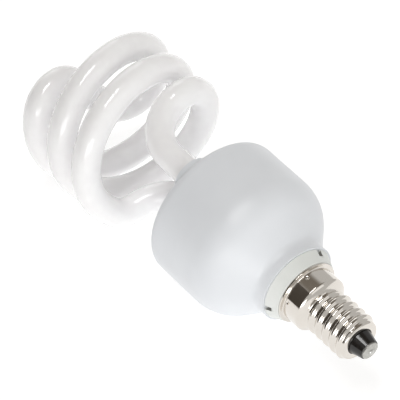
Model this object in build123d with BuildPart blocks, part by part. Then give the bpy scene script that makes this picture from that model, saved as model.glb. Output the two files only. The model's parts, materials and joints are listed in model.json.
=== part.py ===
from build123d import *
from math import acos, atan2, cos, degrees, pi, radians, sin, sqrt, tan
import os

os.makedirs("parts", exist_ok=True)

# Spiral compact fluorescent lamp with a small Edison screw cap, lying on its side.
# Everything is drawn along the lamp's own axis, in mm: height 0 is the tip of the
# centre contact and heights grow towards the coil. The last section lays the lamp down.

# Sizes that several pieces follow: the flange, the collar above it and the barrel above that
flange_height = 26.9
collar_width = 3.8
collar_seam = flange_height + collar_width
housing_radius = 21.9
barrel_length = 33.7
cover_seam = collar_seam + barrel_length

# Spiral tube: two arms half a turn apart, joined by a crossing at the top
tube_radius = 4.15
coil_inset = 0.9
coil_radius = housing_radius - coil_inset
coil_rise = 29.0
coil_start = cover_seam + coil_rise
coil_lead = 22.7
coil_turns = 1.18
crossing_angle = 36.0
lead_in_angle = 60.0
lead_in_bend = 8.0
leg_bend = 13.8
leg_depth = 3.4
leg_end = cover_seam - leg_depth
pinch_width = 6.0
pinch_thickness = 2.0
pinch_length = 3.0

# Moulded body
wall = 1.5
neck_radius = 12.0
neck_length = 3.5
neck_bend_height = collar_seam + neck_length
flare_angle = 43.3
neck_fillet = 3.0
shoulder_fillet = 13.0
cover_rise = 3.6
cover_edge = cover_seam + cover_rise
crown_rise = 1.8
cover_crown = cover_edge + crown_rise
cover_fillet = 3.2
spigot_depth = 3.0
spigot_wall = 1.0
socket_wall = 1.6
socket_rise = 1.5
socket_height = cover_edge + socket_rise
cement_width = 0.5
seat_gap = 0.15

# Collar that carries the cap
collar_radius = 11.45
collar_rounding = 0.8
collar_bore = 6.4
collar_neck = 8.0
collar_neck_length = 4.3
collar_neck_end = flange_height - collar_neck_length
collar_spigot_length = 3.3
collar_spigot_top = collar_seam + collar_spigot_length
notch_width = 1.5
notch_height = 3.0
notch_depth = 1.0
notch_angle = 82.0

# Screw cap
shell_wall = 0.35
thread_crest = 6.92
thread_root = 6.2
thread_pitch = 2.82
thread_round = 0.85
thread_start = 6.2
thread_turns = 4.65
thread_entry = -10.0
thread_fade = 0.6
shell_end = 4.9
shell_roll = 0.9
shell_seam_angle = 37.0
shell_mouth = 4.0
shoulder_start = 19.2
skirt_start = 21.0
skirt_radius = 8.5
skirt_rounding = 0.55
flange_radius = 10.2
flange_thickness = 0.5
skirt_flare = 1.0
dimple_drop = 1.7
dimple_radius = 0.55
dimple_depth = 0.2
dimple_count = 6
dimple_angle = 6.0
insulator_end_radius = 2.95
insulator_plug = 8.4
contact_height = 0.9
contact_radius = 2.6
contact_thickness = 0.5
contact_dome = 0.45
contact_hole = 0.6
solder_radius = 0.85
solder_height = 0.4

# Rest: which side of the lamp is down, counted round its axis from the foot of the first arm
floor_side = -41.6

# Ballast inside: the board lies across the barrel, its large parts face the cap,
# and its choke, the heaviest of them, is on the side that the lamp comes to rest on
board_drop = 9.4
board_height = cover_seam - board_drop
board_thickness = 1.6
board_rib_count = 6
board_rib_depth = 1.6
board_rib_width = 1.2
board_rib_length = 5.0
foot_gap = 0.2
capacitor_radius = 5.0
capacitor_length = 18.6
sleeve_rounding = 0.6
choke_angle = floor_side
choke_offset = 10.4
core_width = 16.0
core_depth = 5.0
core_height = 12.0
core_yoke = 2.0
core_limb = 3.2
bobbin_wall = 0.5
winding_radius = 4.5
toroid_angle = choke_angle + 125
toroid_offset = 12.0
toroid_radius = 4.8
toroid_hole = 2.2
toroid_height = 3.6
toroid_rounding = 0.5
transistor_angles = (choke_angle + 78, choke_angle + 230)
transistor_offset = 12.5
transistor_depth = 3.0
transistor_width = 7.8
transistor_height = 10.0
transistor_lead = 2.2
transistor_lead_pitch = 2.3
film_angle = choke_angle + 180
film_offset = 11.0
film_depth = 3.6
film_width = 9.0
film_height = 7.0
film_rounding = 0.8
filter_angle = choke_angle - 85
filter_offset = 13.5
filter_radius = 3.6
filter_waist = 2.4
filter_height = 7.0
filter_flange = 1.0
fuse_angle = choke_angle - 55
fuse_offset = 13.0
fuse_radius = 1.4
fuse_length = 7.0
starter_depth = 4.2
starter_width = 10.0
starter_height = 7.4
diode_count = 4
diode_radius = 1.3
diode_length = 4.6
resistor_count = 3
resistor_radius = 1.1
resistor_length = 5.6
axial_pitch = 3.6
axial_offset = 12.5
axial_lead_span = 2.0
wire_radius = 0.3
pin_side = 0.8
pin_height = 3.2
pin_reach = 3.2
electrode_spread = 2.0
electrode_rise = 0.7
electrode_bend = 0.5
lead_offset = 7.5
lead_bend = 3.0
lead_bend_rise = 1.8
lead_bend_height = board_height - foot_gap - capacitor_length + lead_bend_rise
neck_entry_height = 31.0
contact_lead_angle = choke_angle - 70
contact_lead_offset = 3.5
contact_lead_turn = 14.0
contact_lead_axis_height = 9.8
shell_lead_angle = choke_angle + 153
shell_lead_offset = 5.2
shell_lead_height = 21.6
shell_lead_bend = 0.8

lamp_axis = Axis.Z


def turned(vector, angle):
    """The same vector turned about the lamp's axis."""
    return vector.rotate(lamp_axis, angle)


def bend_end(start, heading, new_heading, radius):
    """Where an arc ends that starts along heading and leaves along new_heading."""
    turn = radians(heading.get_angle(new_heading))
    return start + (heading + new_heading) * radius * tan(turn / 2)


def around(angle, offset, height):
    """A place on the board or in the body, given by its angle about the axis."""
    return Location(turned(Vector(offset, 0, height), angle), (0, 0, angle))


def half_plane(angle):
    """The plane through the axis at this angle: sketch x is the radius, y the height."""
    across = turned(Vector(0, -1, 0), angle)
    return Plane(origin=(0, 0, 0), x_dir=turned(Vector(1, 0, 0), angle), z_dir=across)


# Route of one arm, from its leg up to the middle of the crossing
with BuildLine() as arm:
    coil = Helix(
        pitch=coil_lead,
        height=coil_lead * coil_turns,
        radius=coil_radius,
        center=(0, 0, coil_start),
    )
    coil_foot = coil @ 0
    foot_heading = -(coil % 0)
    inward = Vector(-1, 0, 0)
    lead_in_turn = radians(lead_in_angle)
    lead_in_heading = foot_heading * cos(lead_in_turn) + inward * sin(lead_in_turn)
    lead_in_end = bend_end(coil_foot, foot_heading, lead_in_heading, lead_in_bend)
    TangentArc(coil_foot, lead_in_end, tangent=foot_heading)
    leg_top = bend_end(lead_in_end, lead_in_heading, Vector(0, 0, -1), leg_bend)
    TangentArc(lead_in_end, leg_top, tangent=lead_in_heading)
    leg_foot = Vector(leg_top.X, leg_top.Y, leg_end)
    Line(leg_top, leg_foot)
    top_heading = coil % 1
    rise_angle = atan2(coil_lead, 2 * pi * coil_radius)
    crossing_heading = turned(inward, 360 * coil_turns + crossing_angle)
    crossing_turn = radians(top_heading.get_angle(crossing_heading))
    crossing_bend = coil_radius * tan(radians(crossing_angle)) / (cos(rise_angle) * tan(crossing_turn / 2))
    crossing_start = bend_end(coil @ 1, top_heading, crossing_heading, crossing_bend)
    TangentArc(coil @ 1, crossing_start, tangent=top_heading)
    crossing_middle = Vector(0, 0, crossing_start.Z)
    Line(crossing_start, crossing_middle)

leg_radius = Vector(leg_foot.X, leg_foot.Y, 0).length
leg_angle = degrees(atan2(leg_foot.Y, leg_foot.X))
leg_places = [turned(Vector(leg_foot.X, leg_foot.Y, 0), angle) for angle in (0, 180)]

with BuildPart() as discharge_tube:
    with BuildSketch(Plane(origin=leg_foot, z_dir=(0, 0, 1))):
        Circle(tube_radius)
    sweep(path=arm.wire())
    # Each end of the glass is pinched flat over its wires
    with Locations(Location(leg_foot, (0, 0, leg_angle))):
        Box(pinch_thickness, pinch_width, pinch_length, align=(Align.CENTER, Align.CENTER, Align.MAX))
    add(discharge_tube.part.rotate(lamp_axis, 180))
discharge_tube.part.label = "discharge_tube"


def barrel_section(inset, bottom, top):
    """Half section of the barrel, from the axis to its wall moved in by inset."""
    shift = inset * tan(radians(flare_angle) / 2)
    flare_end = neck_bend_height + (housing_radius - neck_radius) / tan(radians(flare_angle))
    neck_corner = (neck_radius - inset, neck_bend_height + shift)
    shoulder_corner = (housing_radius - inset, flare_end + shift)
    with BuildSketch(Plane.XZ) as section:
        with BuildLine():
            Polyline(
                (0, bottom),
                (neck_radius - inset, bottom),
                neck_corner,
                shoulder_corner,
                (housing_radius - inset, top),
                (0, top),
                close=True,
            )
        make_face()
        fillet(section.vertices().sort_by_distance(neck_corner)[0], neck_fillet + inset)
        fillet(section.vertices().sort_by_distance(shoulder_corner)[0], shoulder_fillet - inset)
    return section.sketch


board_radius = housing_radius - wall - seat_gap
rib_top = board_height - seat_gap

barrel_outside = barrel_section(0, collar_seam, cover_seam)
barrel_inside = barrel_section(wall, collar_seam, cover_seam)

with BuildPart() as ballast_housing:
    revolve(barrel_outside, axis=lamp_axis)
    revolve(barrel_inside, axis=lamp_axis, mode=Mode.SUBTRACT)
    # Ribs that the circuit board rests on
    with Locations((0, 0, rib_top)):
        with PolarLocations(housing_radius - wall / 2, board_rib_count):
            Box(
                wall / 2 + board_rib_depth,
                board_rib_width,
                board_rib_length,
                align=(Align.MAX, Align.CENTER, Align.MAX),
            )
ballast_housing.part.label = "ballast_housing"

with BuildPart() as top_cover:
    spigot_radius = housing_radius - wall - seat_gap
    with BuildSketch(Plane.XZ) as cover_section:
        with BuildLine():
            Polyline(
                (spigot_radius - spigot_wall, cover_seam - spigot_depth),
                (spigot_radius, cover_seam - spigot_depth),
                (spigot_radius, cover_seam),
                (housing_radius, cover_seam),
                (housing_radius, cover_edge),
                (0, cover_crown),
                (0, cover_crown - wall),
                (spigot_radius - spigot_wall, cover_edge - wall),
                close=True,
            )
        make_face()
        rim = cover_section.vertices().sort_by_distance((housing_radius, cover_edge))[0]
        fillet(rim, cover_fillet)
    revolve(axis=lamp_axis)
    # A raised socket round each leg
    with Locations(*[place + Vector(0, 0, cover_edge - wall) for place in leg_places]):
        Cylinder(
            tube_radius + seat_gap + socket_wall,
            socket_height - cover_edge + wall,
            align=(Align.CENTER, Align.CENTER, Align.MIN),
        )
    with Locations(*[place + Vector(0, 0, cover_seam) for place in leg_places]):
        Cylinder(
            tube_radius + seat_gap,
            socket_height,
            align=(Align.CENTER, Align.CENTER, Align.MIN),
            mode=Mode.SUBTRACT,
        )
top_cover.part.label = "top_cover"

with BuildPart() as tube_cement:
    # A bead of cement where each leg leaves the underside of its socket
    with Locations(*[place + Vector(0, 0, cover_seam) for place in leg_places]):
        Cylinder(
            tube_radius + seat_gap / 2 + cement_width,
            cover_edge - wall - seat_gap - cover_seam,
            align=(Align.CENTER, Align.CENTER, Align.MIN),
        )
        Cylinder(
            tube_radius + seat_gap / 2,
            cover_edge,
            align=(Align.CENTER, Align.CENTER, Align.MIN),
            mode=Mode.SUBTRACT,
        )
tube_cement.part.label = "tube_cement"

with BuildPart() as cap_collar:
    collar_spigot_radius = neck_radius - wall - seat_gap
    with BuildSketch(Plane.XZ) as collar_section:
        with BuildLine():
            Polyline(
                (collar_bore, collar_neck_end),
                (collar_neck, collar_neck_end),
                (collar_neck, flange_height),
                (collar_radius, flange_height),
                (collar_radius, collar_seam),
                (collar_spigot_radius, collar_seam),
                (collar_spigot_radius, collar_spigot_top),
                (collar_spigot_radius - wall, collar_spigot_top),
                (collar_bore, collar_seam),
                close=True,
            )
        make_face()
        lower_edge = collar_section.vertices().sort_by_distance((collar_radius, flange_height))[0]
        fillet(lower_edge, collar_rounding)
    revolve(axis=lamp_axis)
    # Two snap notches, open at the seam
    with Locations((0, 0, collar_seam)):
        with PolarLocations(collar_radius, 2, start_angle=leg_angle + notch_angle):
            Box(
                2 * notch_depth,
                notch_width,
                notch_height,
                align=(Align.CENTER, Align.CENTER, Align.MAX),
                mode=Mode.SUBTRACT,
            )
cap_collar.part.label = "cap_collar"

# Round Edison thread: a crest on the shell's wall, with hollow flanks beside it
crest_centre = thread_crest - thread_round
with BuildPart() as thread_ridge:
    with BuildLine() as thread_path:
        Helix(
            pitch=thread_pitch,
            height=thread_pitch * thread_turns,
            radius=crest_centre,
            center=(0, 0, thread_start),
        )
    with BuildSketch(Plane(origin=thread_path.line @ 0, z_dir=thread_path.line % 0)):
        Circle(thread_round)
    sweep(path=thread_path.line, is_frenet=True)
    # The crest fades out towards the rolled end of the shell
    with BuildSketch(Plane.XZ):
        with BuildLine():
            Polyline(
                (0, shell_end),
                (thread_root - shell_roll, shell_end),
                (thread_crest + shell_wall, thread_start + thread_round + thread_fade),
                (thread_crest + shell_wall, skirt_start),
                (0, skirt_start),
                close=True,
            )
        make_face()
    revolve(axis=lamp_axis, mode=Mode.INTERSECT)

# The shell is turned from a blank whose seam lies away from the thread's entry
shell_plane = half_plane(thread_entry - shell_seam_angle)
with BuildPart() as screw_shell:
    with BuildSketch(shell_plane) as shell_outside:
        with BuildLine():
            Polyline(
                (0, shell_end),
                (thread_root - shell_roll, shell_end),
                (thread_root, shell_end + shell_roll),
                (thread_root, shoulder_start),
                (skirt_radius - skirt_rounding, skirt_start - skirt_rounding),
                (skirt_radius, skirt_start),
                (skirt_radius, flange_height - flange_thickness),
                (flange_radius, flange_height - flange_thickness),
                (flange_radius, flange_height),
                (0, flange_height),
                close=True,
            )
        make_face()
        flare_foot = (skirt_radius, flange_height - flange_thickness)
        flare_corner = shell_outside.vertices().sort_by_distance(flare_foot)[0]
        fillet(flare_corner, skirt_flare)
    revolve(axis=lamp_axis)
    add(thread_ridge.part.rotate(lamp_axis, thread_entry))
    with BuildSketch(shell_plane) as shell_inside:
        with BuildLine():
            Polyline(
                (0, shell_end),
                (shell_mouth, shell_end),
                (shell_mouth, shell_end + shell_wall),
                (thread_root - shell_roll, shell_end + shell_wall),
                (thread_root - shell_wall, shell_end + shell_roll),
                (thread_root - shell_wall, shoulder_start),
                (skirt_radius - shell_wall, skirt_start),
                (skirt_radius - shell_wall, flange_height),
                (0, flange_height),
                close=True,
            )
        make_face()
    revolve(axis=lamp_axis, mode=Mode.SUBTRACT)
    # Punched dimples that hold the shell on the collar's neck
    dimple_offset = skirt_radius + dimple_radius - dimple_depth
    with Locations((0, 0, flange_height - dimple_drop)):
        with PolarLocations(dimple_offset, dimple_count, start_angle=dimple_angle):
            Sphere(dimple_radius, mode=Mode.SUBTRACT)
screw_shell.part.label = "screw_shell"

plug_radius = thread_root - shell_wall - seat_gap
with BuildPart() as insulator:
    with BuildSketch(Plane.XZ):
        with BuildLine():
            Polyline(
                (contact_hole, contact_height + contact_thickness),
                (insulator_end_radius, contact_height + contact_thickness),
                (shell_mouth - seat_gap, shell_end),
                (shell_mouth - seat_gap, shell_end + shell_wall + seat_gap),
                (plug_radius - shell_roll, shell_end + shell_wall + seat_gap),
                (plug_radius, shell_end + shell_wall + seat_gap + shell_roll),
                (plug_radius, insulator_plug),
                (contact_hole, insulator_plug),
                close=True,
            )
        make_face()
    revolve(axis=lamp_axis)
insulator.part.label = "insulator"

with BuildPart() as centre_contact:
    with BuildSketch(Plane.XZ) as contact_section:
        with BuildLine():
            dome = ThreePointArc(
                (contact_hole, contact_height - contact_dome),
                (contact_radius * 0.6, contact_height - contact_dome * 0.7),
                (contact_radius, contact_height),
            )
            Polyline(
                dome @ 1,
                (contact_radius, contact_height + contact_thickness),
                (contact_hole, contact_height + contact_thickness),
                dome @ 0,
            )
        make_face()
    revolve(axis=lamp_axis)
centre_contact.part.label = "centre_contact"

with BuildPart() as centre_solder:
    plug = contact_hole - seat_gap / 2
    with BuildSketch(Plane.XZ):
        with BuildLine():
            pip = ThreePointArc(
                (0, 0),
                (solder_radius * 0.7, solder_height * 0.3),
                (solder_radius, solder_height),
            )
            Polyline(
                pip @ 1,
                (plug, solder_height),
                (plug, contact_height + contact_thickness),
                (0, contact_height + contact_thickness),
                (0, 0),
            )
        make_face()
    revolve(axis=lamp_axis)
centre_solder.part.label = "centre_solder"

# Places on the two faces of the board
below_board = board_height - foot_gap
above_board = board_height + board_thickness
from_top = (Align.CENTER, Align.CENTER, Align.MAX)
from_foot = (Align.CENTER, Align.CENTER, Align.MIN)

with BuildPart() as circuit_board:
    with Locations((0, 0, board_height)):
        Cylinder(board_radius, board_thickness, align=from_foot)
circuit_board.part.label = "circuit_board"

with BuildPart() as electrolytic_capacitor:
    with Locations((0, 0, below_board)):
        Cylinder(capacitor_radius, capacitor_length, align=from_top)
    fillet(electrolytic_capacitor.edges().filter_by(GeomType.CIRCLE), sleeve_rounding)
electrolytic_capacitor.part.label = "electrolytic_capacitor"

core_place = around(choke_angle, choke_offset, below_board)
window_width = (core_width - 3 * core_limb) / 2
window_height = core_height - 2 * core_yoke
window_shift = (core_limb + window_width) / 2
with BuildPart() as choke_core:
    with Locations(core_place):
        Box(core_depth, core_width, core_height, align=from_top)
        with Locations((0, window_shift, -core_yoke), (0, -window_shift, -core_yoke)):
            Box(core_depth, window_width, window_height, align=from_top, mode=Mode.SUBTRACT)
choke_core.part.label = "choke_core"

former_height = window_height - 2 * foot_gap
former_width = core_limb + 2 * foot_gap
former_depth = core_depth + 2 * foot_gap
former_place = around(choke_angle, choke_offset, below_board - core_yoke - foot_gap)
with BuildPart() as choke_bobbin:
    # A square tube round the middle limb, with a flange at each end
    with Locations(former_place):
        Box(former_depth + 2 * bobbin_wall, former_width + 2 * bobbin_wall, former_height, align=from_top)
        with Locations((0, 0, 0), (0, 0, bobbin_wall - former_height)):
            Cylinder(winding_radius, bobbin_wall, align=from_top)
        Box(former_depth, former_width, former_height, align=from_top, mode=Mode.SUBTRACT)
choke_bobbin.part.label = "choke_bobbin"

with BuildPart() as choke_winding:
    with Locations(former_place):
        with Locations((0, 0, -bobbin_wall - foot_gap / 2)):
            Cylinder(winding_radius - foot_gap, former_height - 2 * bobbin_wall - foot_gap, align=from_top)
            Box(
                former_depth + 2 * bobbin_wall + foot_gap,
                former_width + 2 * bobbin_wall + foot_gap,
                former_height,
                align=from_top,
                mode=Mode.SUBTRACT,
            )
choke_winding.part.label = "choke_winding"

with BuildPart() as drive_toroid:
    with Locations(around(toroid_angle, toroid_offset, below_board)):
        Cylinder(toroid_radius, toroid_height, align=from_top)
        Cylinder(toroid_hole, toroid_height, align=from_top, mode=Mode.SUBTRACT)
    fillet(drive_toroid.edges().filter_by(GeomType.CIRCLE), toroid_rounding)
drive_toroid.part.label = "drive_toroid"

with BuildPart() as transistors:
    for angle in transistor_angles:
        with Locations(around(angle, transistor_offset, below_board - transistor_lead)):
            Box(transistor_depth, transistor_width, transistor_height, align=from_top)
            with GridLocations(0, transistor_lead_pitch, 1, 3):
                Box(wire_radius, 2 * wire_radius, transistor_lead, align=from_foot)
transistors.part.label = "transistors"

with BuildPart() as film_capacitor:
    with Locations(around(film_angle, film_offset, below_board)):
        Box(film_depth, film_width, film_height, align=from_top)
    fillet(film_capacitor.edges().filter_by(lamp_axis), film_rounding)
film_capacitor.part.label = "film_capacitor"

with BuildPart() as filter_inductor:
    # A drum core with its winding flush in the waist
    with Locations(around(filter_angle, filter_offset, below_board)):
        Cylinder(filter_waist, filter_height, align=from_top)
        with Locations((0, 0, 0), (0, 0, filter_flange - filter_height)):
            Cylinder(filter_radius, filter_flange, align=from_top)
filter_inductor.part.label = "filter_inductor"

with BuildPart() as filter_winding:
    with Locations(around(filter_angle, filter_offset, below_board - filter_flange - foot_gap / 2)):
        Cylinder(filter_radius - foot_gap, filter_height - 2 * filter_flange - foot_gap, align=from_top)
        Cylinder(filter_waist + foot_gap / 2, filter_height, align=from_top, mode=Mode.SUBTRACT)
filter_winding.part.label = "filter_winding"

with BuildPart() as fuse_resistor:
    with Locations(around(fuse_angle, fuse_offset, below_board)):
        Cylinder(wire_radius, fuse_length, align=from_top)
        with Locations((0, 0, -foot_gap)):
            Cylinder(fuse_radius, fuse_length, align=from_top)
fuse_resistor.part.label = "fuse_resistor"

with BuildPart() as starting_capacitor:
    with Locations(around(leg_angle, 0, above_board + foot_gap)):
        Box(starter_depth, starter_width, starter_height, align=from_foot)
    fillet(starting_capacitor.edges().filter_by(lamp_axis), film_rounding)
starting_capacitor.part.label = "starting_capacitor"


def axial_row(count, radius, length, angle):
    """A row of parts lying on the board, each with a lead bent down at both ends."""
    lying = Rotation(0, 90, 0)
    half_span = length / 2 + axial_lead_span / 2
    with BuildPart() as row:
        with Locations(around(angle, axial_offset, above_board + foot_gap)):
            with GridLocations(0, axial_pitch, 1, count):
                with Locations((0, 0, radius)):
                    Cylinder(radius, length, rotation=lying)
                    Cylinder(wire_radius, 2 * half_span, rotation=lying)
                with Locations((half_span, 0, 0), (-half_span, 0, 0)):
                    Cylinder(wire_radius, radius + wire_radius, align=from_foot)
    return row


rectifier_diodes = axial_row(diode_count, diode_radius, diode_length, leg_angle + 90)
rectifier_diodes.part.label = "rectifier_diodes"
resistors = axial_row(resistor_count, resistor_radius, resistor_length, leg_angle - 90)
resistors.part.label = "resistors"

leg_sides = [leg_angle, leg_angle + 180]
pin_offset = leg_radius + pin_reach
with BuildPart() as wrap_pins:
    for angle in leg_sides:
        with Locations(around(angle, pin_offset, above_board)):
            with GridLocations(0, 2 * electrode_spread, 1, 2):
                Box(pin_side, pin_side, pin_height, align=from_foot)
wrap_pins.part.label = "wrap_pins"

# One electrode wire, from the pinched end of a leg to the side of its pin
pinch_foot = leg_end - pinch_length
electrode_height = above_board + electrode_rise
with BuildPart() as electrode_wire:
    with BuildLine() as electrode_path:
        FilletPolyline(
            (leg_radius, 0, pinch_foot),
            (leg_radius, 0, electrode_height),
            (pin_offset - pin_side / 2, 0, electrode_height),
            radius=electrode_bend,
        )
    with BuildSketch(Plane(origin=(leg_radius, 0, pinch_foot), z_dir=(0, 0, -1))):
        Circle(wire_radius)
    sweep(path=electrode_path.wire())

with BuildPart() as electrode_leads:
    for angle in leg_sides:
        with Locations(around(angle, 0, 0)):
            with GridLocations(0, 2 * electrode_spread, 1, 2):
                add(electrode_wire.part)
electrode_leads.part.label = "electrode_leads"


def cap_lead(angle, points, bends):
    """A wire from the board down into the cap, in the half plane at this angle."""
    with BuildPart() as lead:
        with BuildLine(half_plane(angle)) as route:
            FilletPolyline(*points, radius=bends)
        with BuildSketch(Plane(origin=route.wire() @ 0, z_dir=route.wire() % 0)):
            Circle(wire_radius)
        sweep(path=route.wire())
    return lead


contact_lead = cap_lead(
    contact_lead_angle,
    [
        (lead_offset, board_height),
        (lead_offset, lead_bend_height),
        (contact_lead_offset, neck_entry_height),
        (contact_lead_offset, contact_lead_turn),
        (0, contact_lead_axis_height),
        (0, contact_height + contact_thickness),
    ],
    lead_bend,
)
contact_lead.part.label = "contact_lead"

shell_lead = cap_lead(
    shell_lead_angle,
    [
        (lead_offset, board_height),
        (lead_offset, lead_bend_height),
        (shell_lead_offset, neck_entry_height),
        (shell_lead_offset, shell_lead_height),
        (skirt_radius - shell_wall - seat_gap, shell_lead_height),
    ],
    [lead_bend, lead_bend, shell_lead_bend],
)
shell_lead.part.label = "shell_lead"

# The lamp rests on the barrel's lower shoulder and on the first strand of the coil
# that passes its underside, so its axis tilts a little towards the cap
first_strand = coil_start + coil_lead * (floor_side % 180) / 360
shoulder_radius = housing_radius - shoulder_fillet
shoulder_height = (
    neck_bend_height
    + (housing_radius - neck_radius) / tan(radians(flare_angle))
    + shoulder_fillet * tan(radians(flare_angle) / 2)
)
drop = coil_radius - shoulder_radius
reach = first_strand - shoulder_height
rest_tilt = acos((shoulder_fillet - tube_radius) / sqrt(drop**2 + reach**2)) - atan2(reach, drop)

coilward = Vector(-cos(rest_tilt), 0, sin(rest_tilt))
downward = Vector(-sin(rest_tilt), 0, -cos(rest_tilt))
lying_plane = Plane(
    origin=(0, 0, 0),
    x_dir=downward.rotate(Axis((0, 0, 0), coilward), -floor_side),
    z_dir=coilward,
)

pieces = [
    discharge_tube,
    top_cover,
    ballast_housing,
    tube_cement,
    cap_collar,
    screw_shell,
    insulator,
    centre_contact,
    centre_solder,
    circuit_board,
    electrolytic_capacitor,
    choke_core,
    choke_bobbin,
    choke_winding,
    drive_toroid,
    transistors,
    film_capacitor,
    filter_inductor,
    filter_winding,
    fuse_resistor,
    starting_capacitor,
    rectifier_diodes,
    resistors,
    wrap_pins,
    electrode_leads,
    contact_lead,
    shell_lead,
]

for piece in pieces:
    piece.part.move(lying_plane.location)
boxes = [piece.part.bounding_box() for piece in pieces]
low = [min(tuple(box.min)[side] for box in boxes) for side in range(3)]
high = [max(tuple(box.max)[side] for box in boxes) for side in range(3)]
onto_floor = Location((-(low[0] + high[0]) / 2, -(low[1] + high[1]) / 2, -low[2]))
for piece in pieces:
    piece.part.move(onto_floor)
    export_step(piece.part, f"parts/{piece.part.label}.step")

print("shell volume", round(screw_shell.part.volume, 1))
print("tilt", round(degrees(rest_tilt), 2))
print("leg radius", round(leg_radius, 2))
print("size", [round(high[side] - low[side], 2) for side in range(3)])
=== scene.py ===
import json
import math

import bmesh
import bpy
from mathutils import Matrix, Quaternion, Vector


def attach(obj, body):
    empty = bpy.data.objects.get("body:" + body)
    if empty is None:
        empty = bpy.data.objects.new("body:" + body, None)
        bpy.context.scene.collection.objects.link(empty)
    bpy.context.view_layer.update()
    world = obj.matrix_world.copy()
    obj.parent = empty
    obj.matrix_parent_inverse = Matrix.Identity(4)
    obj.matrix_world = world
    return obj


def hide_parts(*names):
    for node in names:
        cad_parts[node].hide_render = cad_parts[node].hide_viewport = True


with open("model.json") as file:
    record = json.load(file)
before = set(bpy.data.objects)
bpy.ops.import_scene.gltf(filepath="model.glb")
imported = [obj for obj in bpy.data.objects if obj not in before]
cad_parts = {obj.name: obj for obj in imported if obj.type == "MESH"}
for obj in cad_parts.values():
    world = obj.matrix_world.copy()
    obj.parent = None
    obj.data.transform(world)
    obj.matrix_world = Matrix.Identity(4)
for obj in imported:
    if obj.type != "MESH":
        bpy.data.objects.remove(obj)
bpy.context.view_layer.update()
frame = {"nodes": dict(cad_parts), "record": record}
nodes = frame["nodes"]
mounts = {mount["name"]: mount for mount in frame["record"]["mounts"]}
capTip = Vector(mounts["centre_contact"]["pos_m"])
capWay = Vector(mounts["centre_contact"]["axis"]).normalized()
topWay = Vector((-capWay.z, 0, capWay.x))  # square to the axis, on the lamp's upper side
nearWay = Vector((0, -1, 0))
print("frame loaded,", len(nodes), "nodes")


# sRGB hex to the linear colour that the shaders take
def linearColour(hexText):
    values = [int(hexText[i:i + 2], 16) / 255 for i in (1, 3, 5)]
    return tuple(v / 12.92 if v <= 0.04045 else ((v + 0.055) / 1.055) ** 2.4 for v in values) + (1.0,)


# Adds one node with its settings, its socket values and its links
def addNode(tree, kind, values=None, links=None, **settings):
    node = tree.nodes.new(kind)
    for name, value in settings.items():
        setattr(node, name, value)
    for socket, value in (values or {}).items():
        node.inputs[socket].default_value = value
    for socket, source in (links or {}).items():
        tree.links.new(source, node.inputs[socket])
    return node


def addObject(name, data):
    thing = bpy.data.objects.new(name, data)
    bpy.context.scene.collection.objects.link(thing)
    return thing


# How the noise patterns are cut: the part of the noise that is spread from end to end
patternLook = {"mottleFrom": 0.3, "mottleTo": 0.7, "mottleDetail": 3.0,
               "wearFrom": 0.35, "wearTo": 0.65, "wearDetail": 3.0, "reliefDetail": 2.0}


# A noise's scale from the size of its grain
def noiseScale(grainMm):
    return 1000.0 / grainMm


# Mixes a second shade into the base colour by a soft noise; 6, 7 and 2 are the mix's colour sockets
def addMottle(tree, shader, place, look):
    noise = addNode(tree, "ShaderNodeTexNoise",
                    {"Scale": noiseScale(look["mottleMm"]), "Detail": patternLook["mottleDetail"]},
                    {"Vector": place})
    spread = addNode(tree, "ShaderNodeMapRange",
                     {"From Min": patternLook["mottleFrom"], "From Max": patternLook["mottleTo"]},
                     {"Value": noise.outputs["Fac"]})
    mix = addNode(tree, "ShaderNodeMix", {6: linearColour(look["colour"]), 7: linearColour(look["shade"])},
                  {0: spread.outputs["Result"]}, data_type="RGBA")
    tree.links.new(mix.outputs[2], shader.inputs["Base Color"])


# Roughness that wanders between two values
def addWear(tree, shader, place, look):
    noise = addNode(tree, "ShaderNodeTexNoise",
                    {"Scale": noiseScale(look["wearMm"]), "Detail": patternLook["wearDetail"]},
                    {"Vector": place})
    spread = addNode(tree, "ShaderNodeMapRange",
                     {"From Min": patternLook["wearFrom"], "From Max": patternLook["wearTo"],
                      "To Min": look["smoothest"], "To Max": look["roughest"]},
                     {"Value": noise.outputs["Fac"]})
    tree.links.new(spread.outputs["Result"], shader.inputs["Roughness"])


# Fine relief of the surface
def addRelief(tree, shader, place, look):
    noise = addNode(tree, "ShaderNodeTexNoise",
                    {"Scale": noiseScale(look["grainMm"]), "Detail": patternLook["reliefDetail"]},
                    {"Vector": place})
    bump = addNode(tree, "ShaderNodeBump", {"Strength": 1.0, "Distance": look["heightMm"] / 1000.0},
                   {"Height": noise.outputs["Fac"]})
    tree.links.new(bump.outputs["Normal"], shader.inputs["Normal"])


shaderSockets = {"roughness": "Roughness", "metallic": "Metallic", "ior": "IOR",
                 "coat": "Coat Weight", "coatRoughness": "Coat Roughness", "coatIor": "Coat IOR",
                 "scatter": "Subsurface Weight", "scatterReach": "Subsurface Radius",
                 "scatterScale": "Subsurface Scale"}


# A material from its look, with the mottle, wear and relief that the look has
def makeMaterial(name, look):
    material = bpy.data.materials.new(name)
    material.use_nodes = True
    tree = material.node_tree
    shader = tree.nodes["Principled BSDF"]
    shader.inputs["Base Color"].default_value = linearColour(look["colour"])
    for key, socket in shaderSockets.items():
        if key in look:
            shader.inputs[socket].default_value = look[key]
    place = addNode(tree, "ShaderNodeTexCoord").outputs["Object"]
    for key, addPattern in (("mottleMm", addMottle), ("wearMm", addWear), ("grainMm", addRelief)):
        if key in look:
            addPattern(tree, shader, place, look)
    return material


def dress(nodeName, material):
    mesh = nodes[nodeName].data
    mesh.materials.clear()
    mesh.materials.append(material)


# A place on the lamp: millimetres from the cap's tip along the axis and out from it,
# and degrees round it from the top towards the near side
def onLamp(height, radius, turn):
    angle = math.radians(turn)
    out = topWay * math.cos(angle) + nearWay * math.sin(angle)
    return capTip + (out * radius - capWay * height) / 1000.0


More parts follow.
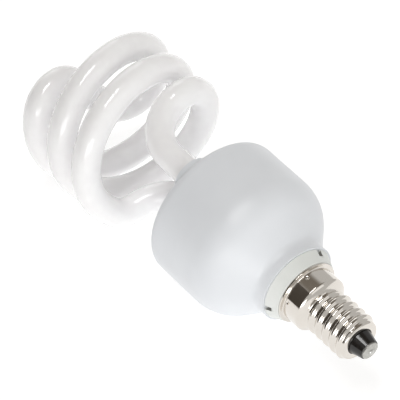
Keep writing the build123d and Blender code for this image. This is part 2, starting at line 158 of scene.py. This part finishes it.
# Cuts the corners of an open profile, pass by pass, into soft bends
def softened(points):
    for _ in range(3):
        cut = [points[0]]
        for a, b in zip(points, points[1:]):
            cut.append(tuple(0.75 * u + 0.25 * v for u, v in zip(a, b)))
            cut.append(tuple(0.25 * u + 0.75 * v for u, v in zip(a, b)))
        points = cut + [points[-1]]
    return points


# Turns a closed profile of (height, radius) rows round the axis through the given turns;
# radiusAt may change a radius at any height and turn
def turnedMesh(name, profile, turns, radiusAt):
    mesh = bmesh.new()
    rows = [[mesh.verts.new(onLamp(height, radiusAt(height, radius, turn), turn)) for turn in turns]
            for height, radius in profile]
    columns = len(turns)
    for lower, upper in zip(rows, rows[1:] + rows[:1]):
        for i in range(columns):
            j = (i + 1) % columns
            mesh.faces.new((lower[i], lower[j], upper[j], upper[i])).smooth = True
    bmesh.ops.remove_doubles(mesh, verts=mesh.verts, dist=1e-7)
    bmesh.ops.recalc_face_normals(mesh, faces=mesh.faces)
    data = bpy.data.meshes.new(name)
    mesh.to_mesh(data)
    mesh.free()
    return addObject(name, data)


def steps(start, end, size):
    count = round((end - start) / size)
    return [start + (end - start) * i / count for i in range(count + 1)]


def smoothStep(value):
    value = min(max(value, 0.0), 1.0)
    return value * value * (3 - 2 * value)


def turnGap(a, b):
    return abs((a - b + 180) % 360 - 180)


# Millimetres along the surface from a place to the nearest of some turns
def arcToNearest(turn, turns, radius):
    return min(turnGap(turn, other) for other in turns) * math.pi / 180 * radius


# Drawn soda-lime tube, coated white inside: a matt white body under clear gloss
tubeLook = {"colour": "#F8F7F8", "shade": "#F4F3F4", "roughness": 0.55, "mottleMm": 3.0, "ior": 1.5,
            "coat": 1.0, "coatRoughness": 0.04, "coatIor": 1.52,
            "scatter": 1.0, "scatterReach": (0.004, 0.004, 0.004), "scatterScale": 1.0}
phosphorGlass = makeMaterial("phosphor-coated soda-lime glass", tubeLook)
dress("discharge_tube", phosphorGlass)

# Injection moulded PBT with a spark-eroded satin, so its highlights are broad and soft
bodyLook = {"colour": "#E6E9ED", "shade": "#E2E5E9", "roughness": 0.38, "mottleMm": 12.0, "ior": 1.53,
            "wearMm": 5.0, "smoothest": 0.34, "roughest": 0.42, "grainMm": 0.4, "heightMm": 0.004}
mouldedPolyester = makeMaterial("moulded white PBT", bodyLook)
dress("ballast_housing", mouldedPolyester)
dress("top_cover", mouldedPolyester)

# The collar is another moulding, a shade warmer and duller than the barrel
collarLook = {"colour": "#E3E5E2", "shade": "#DEE1DD", "roughness": 0.42, "mottleMm": 8.0, "ior": 1.53,
              "grainMm": 0.35, "heightMm": 0.004}
collarPolyester = makeMaterial("moulded white PBT of the collar", collarLook)

# The same moulding deep in the notches, painted dark grey as the shade of the collar's unlit inside that one
# sees through them
paintedNotchShadeLook = {"colour": "#757570", "roughness": 0.6}
paintedNotchShade = makeMaterial("painted shade in the collar's notches", paintedNotchShadeLook)

# The collar: a cone with snap notches that are open at its seam, in millimetres and degrees.
# Two of the notches are in the photograph, and the third is where they would repeat
# The last two values mark the faces deep in the notches that are painted with shade.
collarShape = {"seam": 30.65, "radius": 11.45, "turnStep": 3.0,
               "sideFrom": 27.5, "sideRadius": 10.06, "sideSlope": 0.46,
               "sideHeights": (27.8, 28.2, 28.72, 28.78, 29.0, 29.3, 29.7, 30.1, 30.4, 30.5),
               "notchWidth": 1.5, "notchHeight": 1.9, "notchDepth": 2.2, "notchTurns": (-35.0, 99.0, 204.0),
               "edgeTurn": 0.25, "clearTurn": 0.6, "paintedShadeMargin": 0.1, "paintedShadeDepth": 1.15}
collarFoot = softened([(26.98, 9.0), (26.98, 9.45), (27.0, 9.9), (27.5, 10.06)])
collarSide = []
for height in collarShape["sideHeights"]:
    upSide = height - collarShape["sideFrom"]
    collarSide.append((height, collarShape["sideRadius"] + upSide * collarShape["sideSlope"]))
collarRest = [(30.62, 11.38), (30.65, 11.1), (30.65, 10.47), (33.9, 10.47), (33.9, 9.0), (30.7, 6.6),
              (22.8, 6.6), (22.8, 7.95), (26.98, 7.95)]
notchFloor = collarShape["radius"] - collarShape["notchDepth"]
notchFoot = collarShape["seam"] - collarShape["notchHeight"]


def collarRadius(height, radius, turn):
    across = arcToNearest(turn, collarShape["notchTurns"], collarShape["radius"])
    inNotch = across < collarShape["notchWidth"] / 2 and height > notchFoot and radius > notchFloor
    return notchFloor if inNotch else radius


# Even columns, but with a close pair at each edge of a notch
collarTurns = set(steps(0, 360, collarShape["turnStep"])[:-1])
halfNotch = math.degrees(collarShape["notchWidth"] / 2 / collarShape["radius"])
for notch in collarShape["notchTurns"]:
    collarTurns = {turn for turn in collarTurns
                   if abs(turnGap(turn, notch) - halfNotch) > collarShape["clearTurn"]}
    collarTurns.update((notch + side * (halfNotch + edge)) % 360 for side in (-1, 1)
                       for edge in (-collarShape["edgeTurn"], collarShape["edgeTurn"]))
mouldedCollar = turnedMesh("mouldedCollar", collarFoot + collarSide + collarRest, sorted(collarTurns),
                           collarRadius)
mouldedCollar.data.materials.append(collarPolyester)
mouldedCollar.data.materials.append(paintedNotchShade)
# Painted shade: faces deep in a notch take the dark grey material instead of the collar's own colour
for face in mouldedCollar.data.polygons:
    fromTip = face.center - capTip
    faceHeight = -fromTip.dot(capWay) * 1000
    faceDepth = collarShape["radius"] - (fromTip + capWay * faceHeight / 1000).length * 1000
    besideNotch = notchFoot - collarShape["paintedShadeMargin"] < faceHeight < collarShape["seam"]
    if besideNotch and faceDepth > collarShape["paintedShadeDepth"]:
        face.material_index = 1
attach(mouldedCollar, "root")
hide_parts("cap_collar")
print("collar moulded,", len(collarTurns), "columns")

# Rolled brass with bright nickel plate: mirror-like, a little warm, with faint rolling marks
shellLook = {"colour": "#DDD8D1", "roughness": 0.09, "metallic": 1.0,
             "wearMm": 2.0, "smoothest": 0.06, "roughest": 0.14, "grainMm": 0.5, "heightMm": 0.002}
nickelPlatedBrass = makeMaterial("nickel-plated brass", shellLook)

# The shell as it is rolled from sheet, in millimetres and degrees. Crest and groove of the thread
# are arcs of one radius, and the wall is told from its inside by the margin
shellShape = {"pitch": 2.82, "crest": 6.92, "arc": 0.822, "crestOnTop": 7.36, "core": 6.17, "skirt": 8.5,
              "threadFrom": 5.8, "threadTo": 19.1, "fade": 0.9, "rowStep": 0.1, "turnStep": 1.25,
              "wallMargin": 0.1, "bandFrom": 24.6, "bandTo": 25.6, "bandClear": 25.7,
              "dimpleHeight": 25.2, "dimpleSize": 0.6, "dimpleDepth": 0.28,
              "dimpleTurns": (12.4, 72.4, 132.4, 192.4, 252.4, 312.4)}
rolledEnd = [(5.25, 4.0), (4.9, 4.05), (4.9, 5.2), (5.1, 5.95), (5.8, 6.17)]
shoulderAndSkirt = [(19.1, 6.17), (19.5, 6.25), (20.45, 7.9), (21.1, 8.5), (21.6, 8.5), (24.6, 8.5),
                    (25.8, 8.5), (26.35, 8.55), (26.4, 9.5), (26.4, 9.64), (26.92, 9.64), (26.95, 9.5),
                    (26.95, 8.15)]
insideWall = [(26.4, 8.15), (21.3, 8.15), (19.4, 5.85), (5.9, 5.85), (5.35, 5.5), (5.25, 5.0)]


# The round thread's radius at a distance along the axis from the nearest crest
def threadRadius(offset):
    arc, pitch = shellShape["arc"], shellShape["pitch"]
    crestCentre = shellShape["crest"] - arc
    if offset < pitch / 4:
        return crestCentre + math.sqrt(arc ** 2 - offset ** 2)
    rise = math.sqrt(4 * arc ** 2 - (pitch / 2) ** 2)
    return crestCentre + rise - math.sqrt(arc ** 2 - (pitch / 2 - offset) ** 2)


def shellRadius(height, radius, turn):
    shape = shellShape
    if shape["threadFrom"] < height < shape["threadTo"] and radius > shape["core"] - shape["wallMargin"]:
        along = (height - shape["crestOnTop"] + shape["pitch"] * turn / 360) / shape["pitch"]
        offset = abs(along - round(along)) * shape["pitch"]
        begun = smoothStep((height - shape["threadFrom"]) / shape["fade"])
        left = smoothStep((shape["threadTo"] - height) / shape["fade"])
        return radius + (threadRadius(offset) - radius) * begun * left
    fromDimples = abs(height - shape["dimpleHeight"])
    if fromDimples < shape["dimpleSize"] and radius > shape["skirt"] - shape["wallMargin"]:
        across = arcToNearest(turn, shape["dimpleTurns"], radius)
        reach = math.hypot(across, fromDimples) / shape["dimpleSize"]
        return radius - shape["dimpleDepth"] * (1 - smoothStep(reach))
    return radius


# The thread and the band of dimples take close rows, and the rest the rows of its profile
threadRows = [(height, shellShape["core"]) for height in
              steps(shellShape["threadFrom"], shellShape["threadTo"], shellShape["rowStep"])]
dimpleRows = [(height, shellShape["skirt"]) for height in
              steps(shellShape["bandFrom"], shellShape["bandTo"], shellShape["rowStep"])]
skirtRows = [row for row in softened(shoulderAndSkirt)
             if not shellShape["bandFrom"] < row[0] < shellShape["bandClear"]]
rowsBelow = [row for row in skirtRows if row[0] <= shellShape["bandFrom"] and row[1] <= shellShape["skirt"]]
rowsAbove = [row for row in skirtRows if row not in rowsBelow]
shellProfile = (softened(rolledEnd)[:-1] + threadRows + rowsBelow[1:] + dimpleRows + rowsAbove
                + insideWall)
rolledShell = turnedMesh("rolledShell", shellProfile, steps(0, 360, shellShape["turnStep"])[:-1],
                         shellRadius)
rolledShell.data.materials.append(nickelPlatedBrass)
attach(rolledShell, "root")
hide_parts("screw_shell")
print("shell rolled,", len(shellProfile), "rows")

# Pressed black cap glass: near black with a fire-polished gloss
insulatorLook = {"colour": "#171514", "shade": "#201D1B", "roughness": 0.12, "mottleMm": 1.5, "ior": 1.52,
                 "grainMm": 1.2, "heightMm": 0.01}
blackCapGlass = makeMaterial("pressed black cap glass", insulatorLook)
dress("insulator", blackCapGlass)

# Stamped brass disc, tinned: a dull grey metal with fine pits
contactLook = {"colour": "#C9C8C4", "shade": "#B4B3AE", "roughness": 0.48, "metallic": 1.0, "mottleMm": 0.7,
               "grainMm": 0.3, "heightMm": 0.02}
tinnedBrass = makeMaterial("tinned brass", contactLook)
dress("centre_contact", tinnedBrass)

# Tin solder that froze as a smooth drop
solderLook = {"colour": "#D6D6D2", "shade": "#C3C3BF", "roughness": 0.3, "metallic": 1.0, "mottleMm": 0.5,
              "grainMm": 0.4, "heightMm": 0.02}
tinSolder = makeMaterial("tin solder", solderLook)
dress("centre_solder", tinSolder)
print("outer materials made")

# The sealed ballast, each finish by what the real part is made of
innerLooks = {
    "white silicone cement": {
        "colour": "#E3E0D6", "shade": "#D5D1C4", "roughness": 0.7, "mottleMm": 0.8,
        "grainMm": 0.6, "heightMm": 0.06, "on": ["tube_cement"]},
    "phenolic paper laminate": {
        "colour": "#B08A4A", "shade": "#9C7537", "roughness": 0.55, "mottleMm": 1.5,
        "grainMm": 0.4, "heightMm": 0.01, "on": ["circuit_board"]},
    "shrunk PET sleeve": {
        "colour": "#1E2126", "shade": "#262A31", "roughness": 0.25, "mottleMm": 4.0,
        "grainMm": 3.0, "heightMm": 0.03, "on": ["electrolytic_capacitor"]},
    "sintered ferrite": {
        "colour": "#35322F", "shade": "#2A2826", "roughness": 0.65, "mottleMm": 0.5,
        "grainMm": 0.3, "heightMm": 0.02, "on": ["choke_core", "drive_toroid", "filter_inductor"]},
    "moulded black nylon": {
        "colour": "#1B1B1C", "shade": "#222223", "roughness": 0.5, "mottleMm": 1.0,
        "grainMm": 0.3, "heightMm": 0.01, "on": ["choke_bobbin"]},
    "enamelled copper wire": {
        "colour": "#B4622D", "shade": "#8E4A1F", "roughness": 0.3, "metallic": 1.0, "mottleMm": 0.6,
        "grainMm": 0.3, "heightMm": 0.08, "on": ["choke_winding", "filter_winding"]},
    "moulded epoxy": {
        "colour": "#161617", "shade": "#202021", "roughness": 0.55, "mottleMm": 0.6,
        "grainMm": 0.2, "heightMm": 0.01, "on": ["transistors", "rectifier_diodes"]},
    "dipped epoxy": {
        "colour": "#8C3A1F", "shade": "#7A2F18", "roughness": 0.25, "mottleMm": 1.2,
        "grainMm": 1.0, "heightMm": 0.04, "on": ["film_capacitor", "starting_capacitor"]},
    "resistor lacquer": {
        "colour": "#C2A877", "shade": "#B0956A", "roughness": 0.4, "mottleMm": 0.8,
        "grainMm": 0.5, "heightMm": 0.02, "on": ["fuse_resistor", "resistors"]},
    "tinned copper wire": {
        "colour": "#C6C6C2", "shade": "#AFAFAA", "roughness": 0.35, "metallic": 1.0, "mottleMm": 0.6,
        "grainMm": 0.3, "heightMm": 0.01, "on": ["wrap_pins", "electrode_leads"]},
    "extruded PVC insulation": {
        "colour": "#DCDAD0", "shade": "#D2CFC4", "roughness": 0.45, "mottleMm": 1.5,
        "grainMm": 0.8, "heightMm": 0.01, "on": ["contact_lead", "shell_lead"]},
}
for finish, look in innerLooks.items():
    material = makeMaterial(finish, look)
    for nodeName in look["on"]:
        dress(nodeName, material)
print("inner materials made")


# A flat sheet of the studio, by its four corners
def addSheet(name, corners, material):
    mesh = bpy.data.meshes.new(name)
    mesh.from_pydata(corners, [], [(0, 1, 2, 3)])
    mesh.materials.append(material)
    return addObject(name, mesh)


# Lit white table, as product photographs use: it glows evenly and still takes the lamp's shadow
tableLook = {"colour": "#BCBCBC", "reach": 3.0, "glow": 0.70}
opalAcrylic = bpy.data.materials.new("lit opal acrylic")
opalAcrylic.use_nodes = True
tree = opalAcrylic.node_tree
tree.nodes.clear()
matt = addNode(tree, "ShaderNodeBsdfDiffuse", {"Color": linearColour(tableLook["colour"])})
lit = addNode(tree, "ShaderNodeEmission", {"Color": (1, 1, 1, 1), "Strength": tableLook["glow"]})
both = addNode(tree, "ShaderNodeAddShader", None, {0: matt.outputs[0], 1: lit.outputs[0]})
addNode(tree, "ShaderNodeOutputMaterial", None, {"Surface": both.outputs[0]})
reach = tableLook["reach"]
table = addSheet("studioTable", [(x * reach, y * reach, 0) for x, y in ((-1, -1), (1, -1), (1, 1), (-1, 1))],
                 opalAcrylic)

# A dark card of felt stands on the table's left, as the metal in the photograph shows
cardLook = {"colour": "#4A443D", "roughness": 0.95, "side": -0.26, "from": -0.75, "to": 0.08,
            "foot": 0.0, "height": 0.55}
brownFelt = makeMaterial("brown felt", cardLook)
card = addSheet("leftCard", [(cardLook[end], cardLook["side"], cardLook[level]) for end, level in
                             (("from", "foot"), ("to", "foot"), ("to", "height"), ("from", "height"))],
                brownFelt)
card.visible_camera = False

# The room: pale walls and a dimmer ceiling
roomLook = {"walls": "#D2D1CF", "ceiling": "#7E776E", "strength": 0.94,
            "ceilingFrom": 0.72, "ceilingTo": 0.88}
world = bpy.data.worlds.new("studio room")
bpy.context.scene.world = world
world.use_nodes = True
tree = world.node_tree
tree.nodes.clear()
way = addNode(tree, "ShaderNodeTexCoord").outputs["Generated"]
wayParts = addNode(tree, "ShaderNodeSeparateXYZ", None, {"Vector": way})
rise = addNode(tree, "ShaderNodeMapRange",
               {"From Min": roomLook["ceilingFrom"], "From Max": roomLook["ceilingTo"]},
               {"Value": wayParts.outputs["Z"]}, interpolation_type="SMOOTHSTEP")
roomColour = addNode(tree, "ShaderNodeMix",
                     {6: linearColour(roomLook["walls"]), 7: linearColour(roomLook["ceiling"])},
                     {0: rise.outputs["Result"]}, data_type="RGBA")
air = addNode(tree, "ShaderNodeBackground", {"Strength": roomLook["strength"]},
              {"Color": roomColour.outputs[2]})
addNode(tree, "ShaderNodeOutputWorld", None, {"Surface": air.outputs[0]})

# Soft lamps round the object: sizes and distances in metres, each facing lampAim
lampLooks = {
    "overheadBox": {"way": (0.07, -0.25, 0.96), "distance": 0.9, "size": (0.2, 0.5), "watts": 2.7},
    "cameraBox": {"way": (0.85, 0.15, 0.5), "distance": 1.4, "size": (1.0, 0.7), "watts": 1.0},
    "leftBox": {"way": (0.66, -0.74, 0.12), "distance": 1.2, "size": (0.8, 0.4), "watts": 3.8},
    "backBox": {"way": (-0.85, 0.3, 0.42), "distance": 1.4, "size": (0.8, 0.6), "watts": 2.0},
}
lampAim = Vector((0, 0, 0.025))
for lampName, look in lampLooks.items():
    light = bpy.data.lights.new(lampName, "AREA")
    light.shape = "RECTANGLE"
    light.size, light.size_y = look["size"]
    light.energy = look["watts"]
    back = Vector(look["way"]).normalized()
    holder = addObject(lampName, light)
    holder.location = lampAim + back * look["distance"]
    holder.rotation_euler = back.to_track_quat("Z", "Y").to_euler()
print("table, room and lamps placed")

# Long lens from above the cap's side, as the photograph was taken
cameraLook = {"lens": 229.35, "sensor": 36.0, "near": 0.01, "far": 20.0,
              "place": (0.393976, -0.325166, 0.502733), "aim": (-0.00956, 0.000906, 0.020),
              "rollDegrees": 0.096}
camera = bpy.data.cameras.new("camera")
camera.lens = cameraLook["lens"]
camera.sensor_width = cameraLook["sensor"]
camera.clip_start = cameraLook["near"]
camera.clip_end = cameraLook["far"]
cameraHolder = addObject("camera", camera)
cameraHolder.location = cameraLook["place"]
sight = Vector(cameraLook["place"]) - Vector(cameraLook["aim"])
roll = Quaternion((0, 0, 1), math.radians(cameraLook["rollDegrees"]))
cameraHolder.rotation_euler = (sight.to_track_quat("Z", "Y") @ roll).to_euler()
bpy.context.scene.camera = cameraHolder
bpy.context.scene.view_settings.view_transform = "Standard"
print("camera placed")
